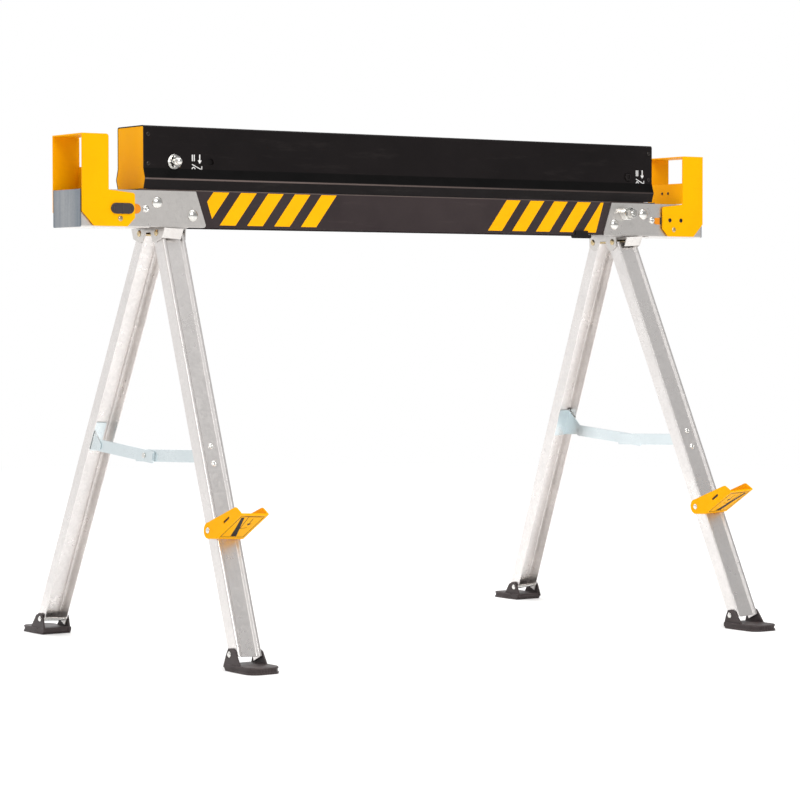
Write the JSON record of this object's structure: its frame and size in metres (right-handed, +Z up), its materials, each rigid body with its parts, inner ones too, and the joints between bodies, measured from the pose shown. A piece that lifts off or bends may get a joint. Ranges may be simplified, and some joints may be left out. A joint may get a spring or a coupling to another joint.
{
  "type": "folding sawhorse",
  "caption": "Folding steel sawhorse with a pressed black beam, hinged channel legs, sliding timber support arms and fold-down material rests.",
  "frame": {"origin": "on the floor, under the middle of the beam", "axes": "+X along the beam towards its right end, +Y from the front with the material rests to the rear, +Z up"},
  "size_m": [1.234, 0.72, 0.813],
  "materials": {
    "black_paint": "satin black powder coat",
    "rail_paint": "satin dark grey-brown coat with yellow slanted stripes",
    "yellow_paint": "satin yellow-orange powder coat",
    "zinc_plate": "bright zinc plate",
    "galvanised_steel": "galvanised, faint spangle",
    "bolt_steel": "bright plated",
    "dark_plastic": "matt, fine grain",
    "orange_plastic": "matt orange"
  },
  "bodies": {
    "beam": {"top_beam": "black_paint", "lower_rail": "rail_paint", "end_cap_left": "yellow_paint", "end_bracket_left": "zinc_plate", "stop_bolt_left": "bolt_steel", "pivot_bolt_left": "bolt_steel", "clamp_bolt_left": "bolt_steel", "plunger_sleeve_left": "bolt_steel", "end_cap_right": "yellow_paint", "end_bracket_right": "zinc_plate", "stop_bolt_right": "bolt_steel", "pivot_bolt_right": "bolt_steel", "clamp_bolt_right": "bolt_steel", "plunger_sleeve_right": "bolt_steel", "leg_clip_right": "dark_plastic"},
    "hanger_left": {"hanger_left": "zinc_plate", "front_leg_pin_left": "bolt_steel", "rear_leg_pin_left": "bolt_steel"},
    "front_leg_left": {"front_leg_left": "galvanised_steel", "front_lug_left": "zinc_plate", "front_foot_pin_left": "bolt_steel", "rest_pin_left": "bolt_steel"},
    "rear_leg_left": {"rear_leg_left": "galvanised_steel", "rear_lug_left": "zinc_plate", "rear_foot_pin_left": "bolt_steel"},
    "front_link_left": {"front_brace_link_left": "zinc_plate"},
    "rear_link_left": {"rear_brace_link_left": "zinc_plate", "brace_rivet_left": "bolt_steel"},
    "front_foot_left": {"front_foot_left": "dark_plastic"},
    "rear_foot_left": {"rear_foot_left": "dark_plastic"},
    "rest_left": {"material_rest_left": "yellow_paint"},
    "arm_left": {"support_arm_left": "yellow_paint", "guide_pin_left": "bolt_steel"},
    "lock_left": {"lock_grip_left": "dark_plastic", "lock_tab_left": "orange_plastic"},
    "plunger_left": {"plunger_left": "bolt_steel"},
    "hanger_right": {"hanger_right": "zinc_plate", "front_leg_pin_right": "bolt_steel", "rear_leg_pin_right": "bolt_steel"},
    "front_leg_right": {"front_leg_right": "galvanised_steel", "front_lug_right": "zinc_plate", "front_foot_pin_right": "bolt_steel", "rest_pin_right": "bolt_steel"},
    "rear_leg_right": {"rear_leg_right": "galvanised_steel", "rear_lug_right": "zinc_plate", "rear_foot_pin_right": "bolt_steel"},
    "front_link_right": {"front_brace_link_right": "zinc_plate"},
    "rear_link_right": {"rear_brace_link_right": "zinc_plate", "brace_rivet_right": "bolt_steel"},
    "front_foot_right": {"front_foot_right": "dark_plastic"},
    "rear_foot_right": {"rear_foot_right": "dark_plastic"},
    "rest_right": {"material_rest_right": "yellow_paint"},
    "arm_right": {"support_arm_right": "yellow_paint", "guide_pin_right": "bolt_steel"},
    "lock_right": {"lock_grip_right": "dark_plastic", "lock_tab_right": "orange_plastic"},
    "plunger_right": {"plunger_right": "bolt_steel"}
  },
  "joints": [
    {"name": "fold_left", "type": "hinge", "parent": "beam", "child": "hanger_left", "pos_m": [-0.42, 0, 0.6755], "axis": [0, -1, 0], "range_deg": [0, 91]},
    {"name": "front_spread_left", "type": "hinge", "parent": "hanger_left", "child": "front_leg_left", "pos_m": [-0.45211, -0.0265, 0.64754], "axis": [0.9985, 0, -0.0541], "range_deg": [0, 23.5]},
    {"name": "front_brace_left", "type": "hinge", "parent": "front_leg_left", "child": "front_link_left", "pos_m": [-0.47047, -0.16504, 0.30855], "axis": [0.9985, 0, -0.0541], "range_deg": [0, 67.81]},
    {"name": "front_foot_tilt_left", "type": "hinge", "parent": "front_leg_left", "child": "front_foot_left", "pos_m": [-0.4859, -0.29616, 0.02362], "axis": [-0.9985, 0, 0.0541], "range_deg": [-12, 12]},
    {"name": "rest_fold_left", "type": "hinge", "parent": "front_leg_left", "child": "rest_left", "pos_m": [-0.47632, -0.21897, 0.20059], "axis": [-0.9985, 0, 0.0541], "range_deg": [0, 83]},
    {"name": "rear_spread_left", "type": "hinge", "parent": "hanger_left", "child": "rear_leg_left", "pos_m": [-0.45211, 0.0265, 0.64754], "axis": [-0.9985, 0, 0.0541], "range_deg": [0, 23.5]},
    {"name": "rear_brace_left", "type": "hinge", "parent": "rear_leg_left", "child": "rear_link_left", "pos_m": [-0.4702, 0.13599, 0.31358], "axis": [-0.9985, 0, 0.0541], "range_deg": [0, 66.51]},
    {"name": "rear_foot_tilt_left", "type": "hinge", "parent": "rear_leg_left", "child": "rear_foot_left", "pos_m": [-0.4859, 0.29616, 0.02362], "axis": [0.9985, 0, -0.0541], "range_deg": [-12, 12]},
    {"name": "arm_slide_left", "type": "slide", "parent": "beam", "child": "arm_left", "axis": [-1, 0, 0], "range_m": [0, 0.03]},
    {"name": "lock_slide_left", "type": "slide", "parent": "arm_left", "child": "lock_left", "axis": [-1, 0, 0], "range_m": [0, 0.008], "stiffness_N_per_m": 150},
    {"name": "plunger_pull_left", "type": "slide", "parent": "beam", "child": "plunger_left", "axis": [0, 1, 0], "range_m": [0, 0.008], "stiffness_N_per_m": 300},
    {"name": "fold_right", "type": "hinge", "parent": "beam", "child": "hanger_right", "pos_m": [0.42, 0, 0.6755], "axis": [0, 1, 0], "range_deg": [0, 55]},
    {"name": "rear_spread_right", "type": "hinge", "parent": "hanger_right", "child": "rear_leg_right", "pos_m": [0.45211, 0.0265, 0.64754], "axis": [-0.9985, 0, -0.0541], "range_deg": [0, 23.5]},
    {"name": "rear_brace_right", "type": "hinge", "parent": "rear_leg_right", "child": "rear_link_right", "pos_m": [0.4702, 0.13599, 0.31358], "axis": [-0.9985, 0, -0.0541], "range_deg": [0, 66.51]},
    {"name": "rear_foot_tilt_right", "type": "hinge", "parent": "rear_leg_right", "child": "rear_foot_right", "pos_m": [0.4859, 0.29616, 0.02362], "axis": [0.9985, 0, 0.0541], "range_deg": [-12, 12]},
    {"name": "front_spread_right", "type": "hinge", "parent": "hanger_right", "child": "front_leg_right", "pos_m": [0.45211, -0.0265, 0.64754], "axis": [0.9985, 0, 0.0541], "range_deg": [0, 23.5]},
    {"name": "front_brace_right", "type": "hinge", "parent": "front_leg_right", "child": "front_link_right", "pos_m": [0.47047, -0.16504, 0.30855], "axis": [0.9985, 0, 0.0541], "range_deg": [0, 67.81]},
    {"name": "front_foot_tilt_right", "type": "hinge", "parent": "front_leg_right", "child": "front_foot_right", "pos_m": [0.4859, -0.29616, 0.02362], "axis": [-0.9985, 0, -0.0541], "range_deg": [-12, 12]},
    {"name": "rest_fold_right", "type": "hinge", "parent": "front_leg_right", "child": "rest_right", "pos_m": [0.47632, -0.21897, 0.20059], "axis": [-0.9985, 0, -0.0541], "range_deg": [0, 83]},
    {"name": "arm_slide_right", "type": "slide", "parent": "beam", "child": "arm_right", "axis": [1, 0, 0], "range_m": [0, 0.03]},
    {"name": "lock_slide_right", "type": "slide", "parent": "arm_right", "child": "lock_right", "axis": [1, 0, 0], "range_m": [0, 0.008], "stiffness_N_per_m": 150},
    {"name": "plunger_pull_right", "type": "slide", "parent": "beam", "child": "plunger_right", "axis": [0, -1, 0], "range_m": [0, 0.008], "stiffness_N_per_m": 300}
  ],
  "couplings": [
    {"joint": "front_spread_left", "follows": "fold_left", "ratio": 0.25714},
    {"joint": "front_brace_left", "follows": "fold_left", "ratio": 0.74297},
    {"joint": "rear_spread_left", "follows": "fold_left", "ratio": 0.25714},
    {"joint": "rear_brace_left", "follows": "fold_left", "ratio": 0.7287},
    {"joint": "rear_spread_right", "follows": "fold_right", "ratio": 0.42546},
    {"joint": "rear_brace_right", "follows": "fold_right", "ratio": 1.2057},
    {"joint": "front_spread_right", "follows": "fold_right", "ratio": 0.42546},
    {"joint": "front_brace_right", "follows": "fold_right", "ratio": 1.2293}
  ]
}
